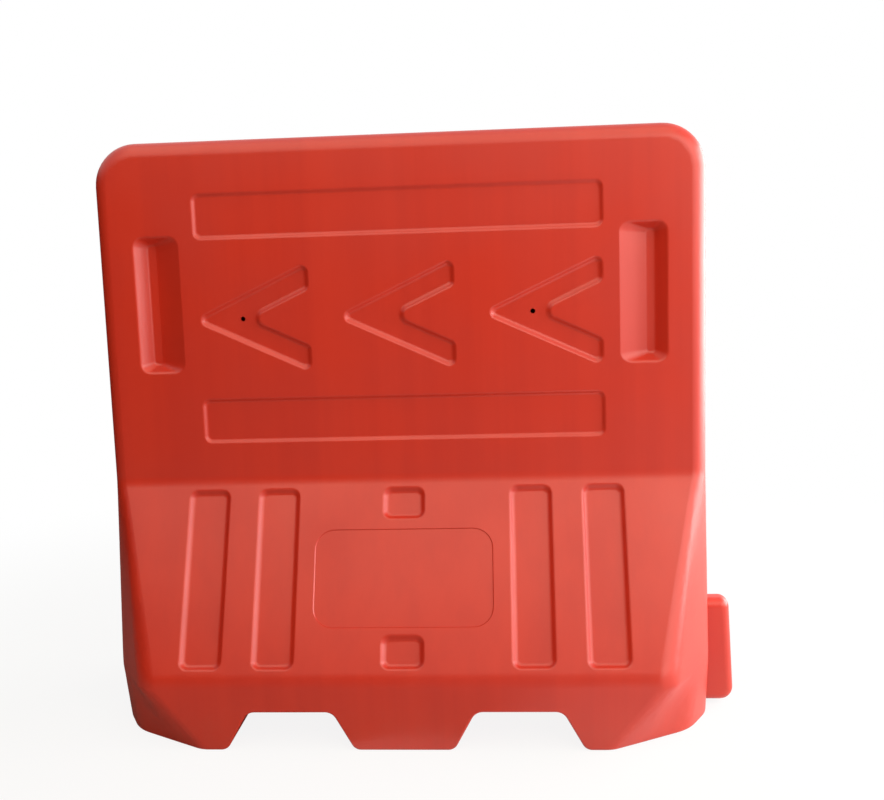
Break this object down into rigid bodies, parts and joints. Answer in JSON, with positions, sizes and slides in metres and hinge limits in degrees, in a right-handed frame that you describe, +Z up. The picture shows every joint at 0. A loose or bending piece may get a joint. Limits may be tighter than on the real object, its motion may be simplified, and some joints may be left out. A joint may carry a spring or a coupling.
{
  "type": "plastic safety barrier",
  "caption": "Hollow water-filled plastic road barrier with a flared base, hand grips, recessed strips and chevrons, end tongue and groove, screw filler cap and drain plug.",
  "frame": {"origin": "on the ground, under the middle of the middle foot", "axes": "+X along the barrier towards the end with the tongue, -Y towards the pictured front, +Z up"},
  "size_m": [1.0504, 0.4, 0.98],
  "materials": {
    "shell_plastic": "satin, rotomoulded",
    "neck_plastic": "moulded",
    "cap_plastic": "moulded",
    "seal_rubber": "matt"
  },
  "bodies": {
    "barrier": {"barrier_shell": "shell_plastic", "fill_neck": "neck_plastic", "drain_bush": "neck_plastic"},
    "cap_ring": {"fill_seal": "seal_rubber"},
    "cap": {"fill_cap": "cap_plastic"},
    "plug_ring": {"drain_seal": "seal_rubber"},
    "plug": {"drain_plug": "cap_plastic"}
  },
  "joints": [
    {"name": "cap_turn", "type": "hinge", "parent": "barrier", "child": "cap_ring", "pos_m": [0, 0, 0.956], "axis": [0, 0, 1], "range_deg": [0, 900]},
    {"name": "cap_lift", "type": "slide", "parent": "cap_ring", "child": "cap", "axis": [0, 0, 1], "range_m": [0, 0.015]},
    {"name": "plug_turn", "type": "hinge", "parent": "barrier", "child": "plug_ring", "pos_m": [0, 0.182, 0.044], "axis": [0, 1, 0], "range_deg": [0, 1080]},
    {"name": "plug_draw", "type": "slide", "parent": "plug_ring", "child": "plug", "axis": [0, 1, 0], "range_m": [0, 0.012]}
  ],
  "couplings": [
    {"joint": "cap_lift", "follows": "cap_turn", "m_per_rad": 0.00095492},
    {"joint": "plug_draw", "follows": "plug_turn", "m_per_rad": 0.00063661}
  ]
}
